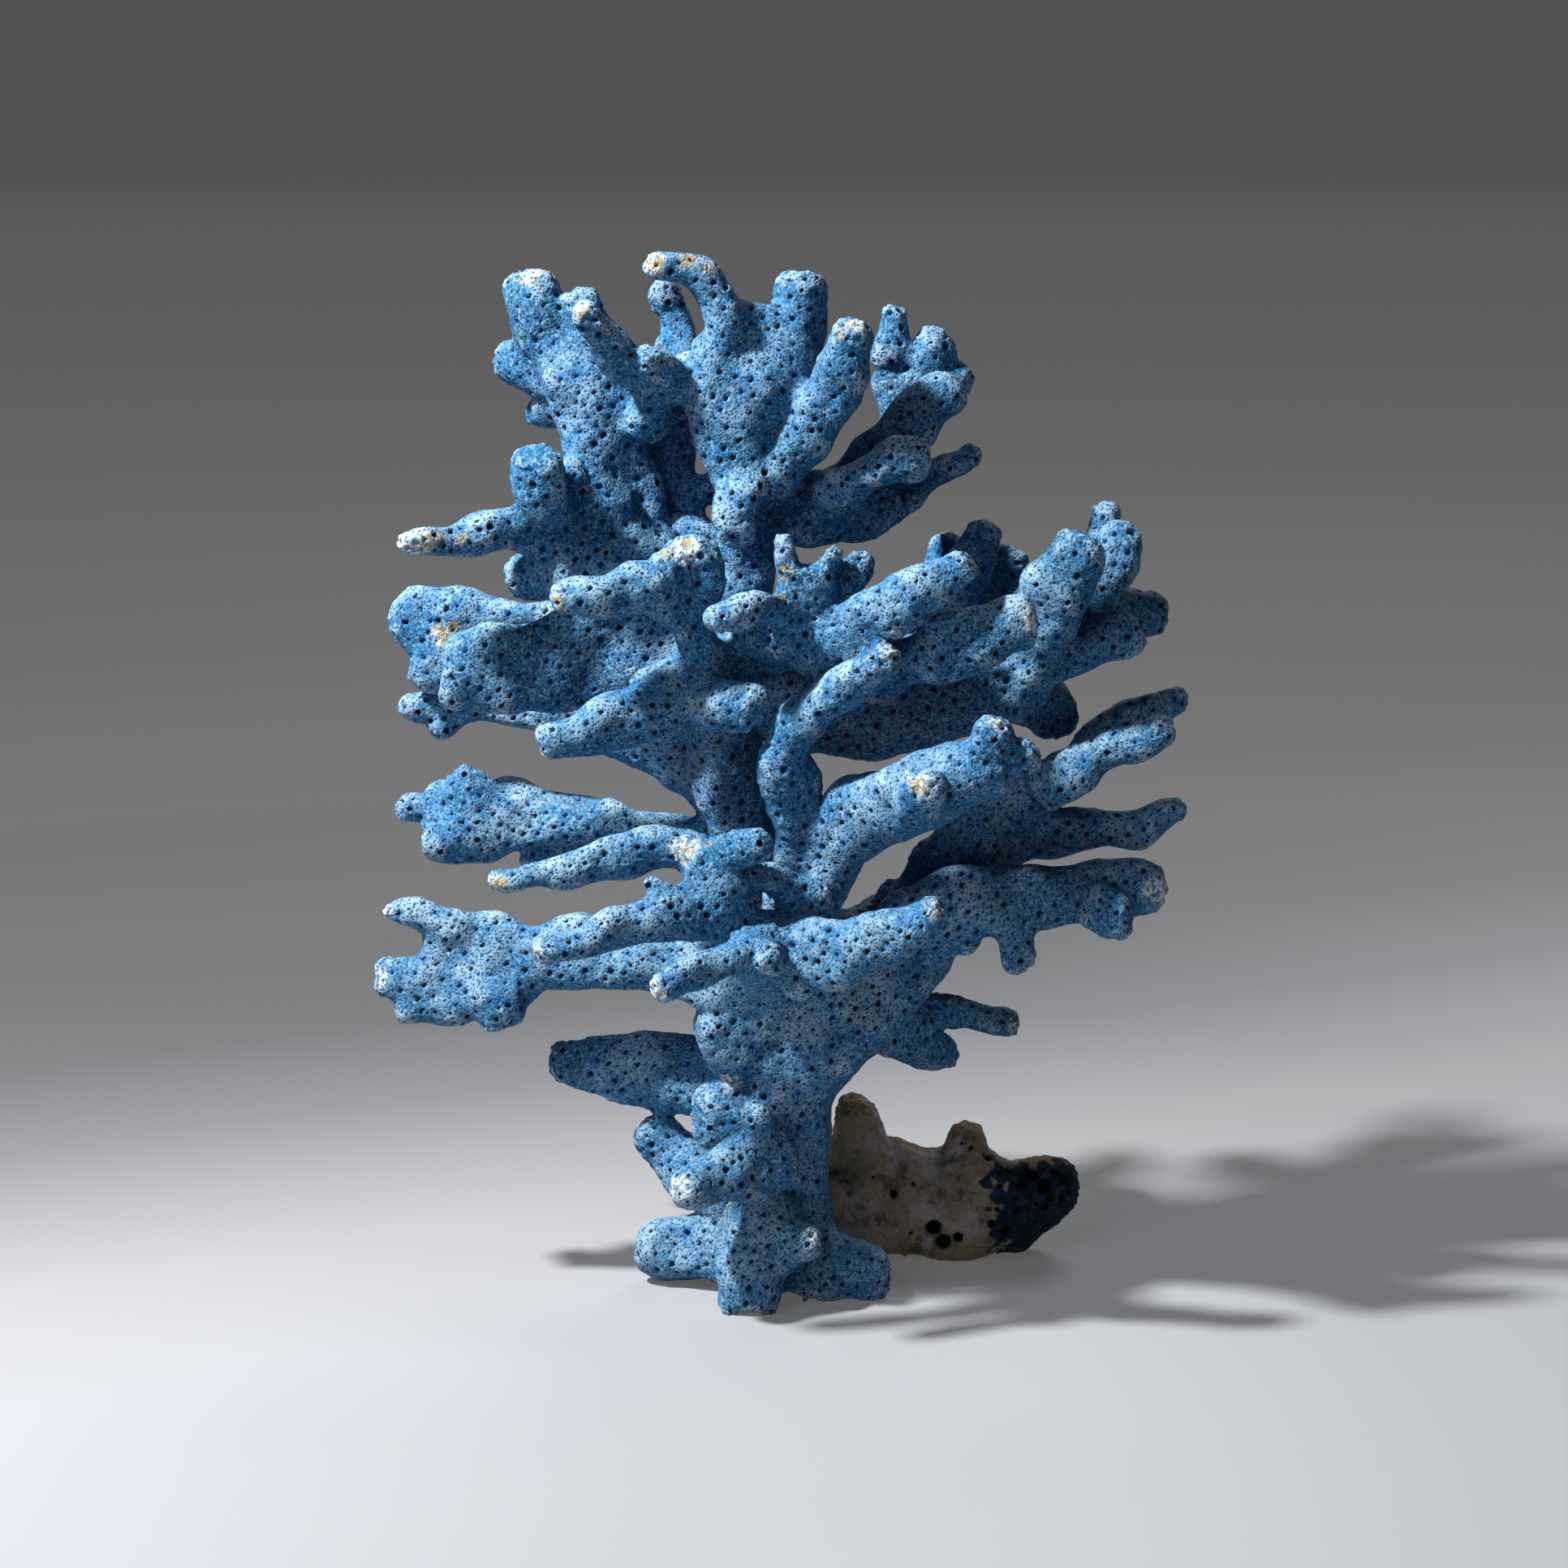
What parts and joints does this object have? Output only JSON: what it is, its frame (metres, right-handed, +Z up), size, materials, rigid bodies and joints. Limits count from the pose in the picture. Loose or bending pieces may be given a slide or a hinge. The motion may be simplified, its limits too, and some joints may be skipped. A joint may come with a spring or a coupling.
{
  "type": "blue ridge coral skeleton",
  "caption": "Branching blue coral skeleton, upright on its broken foot, with flattened fingered branches and an old weathered branch behind the foot.",
  "frame": {"origin": "middle of the trunk's flat foot, on the surface the coral stands on", "axes": "+Z up along the trunk, +X to the right and +Y to the back as the coral is seen from its front"},
  "size_m": [0.1258, 0.0826, 0.1614],
  "materials": {
    "blue_skeleton": "matte, porous",
    "weathered_crust": "matte, rough"
  },
  "bodies": {
    "root": {"trunk": "blue_skeleton", "weathered_base": "weathered_crust", "lower_left_branch": "blue_skeleton", "lower_right_branch": "blue_skeleton", "central_stem": "blue_skeleton", "left_fan": "blue_skeleton", "right_lower_fan": "blue_skeleton", "front_cluster": "blue_skeleton", "centre_right_arm": "blue_skeleton", "right_upper_fan": "blue_skeleton", "mid_left_fan": "blue_skeleton", "left_plates": "blue_skeleton", "right_plates": "blue_skeleton", "front_left_fingers": "blue_skeleton", "front_centre_fingers": "blue_skeleton", "upper_left_arm": "blue_skeleton", "centre_crown": "blue_skeleton", "left_crown": "blue_skeleton", "right_crown": "blue_skeleton", "back_lower_left_branch": "blue_skeleton", "back_lower_right_branch": "blue_skeleton", "back_left_branch": "blue_skeleton", "back_right_branch": "blue_skeleton", "back_crown_branch": "blue_skeleton"}
  },
  "joints": []
}
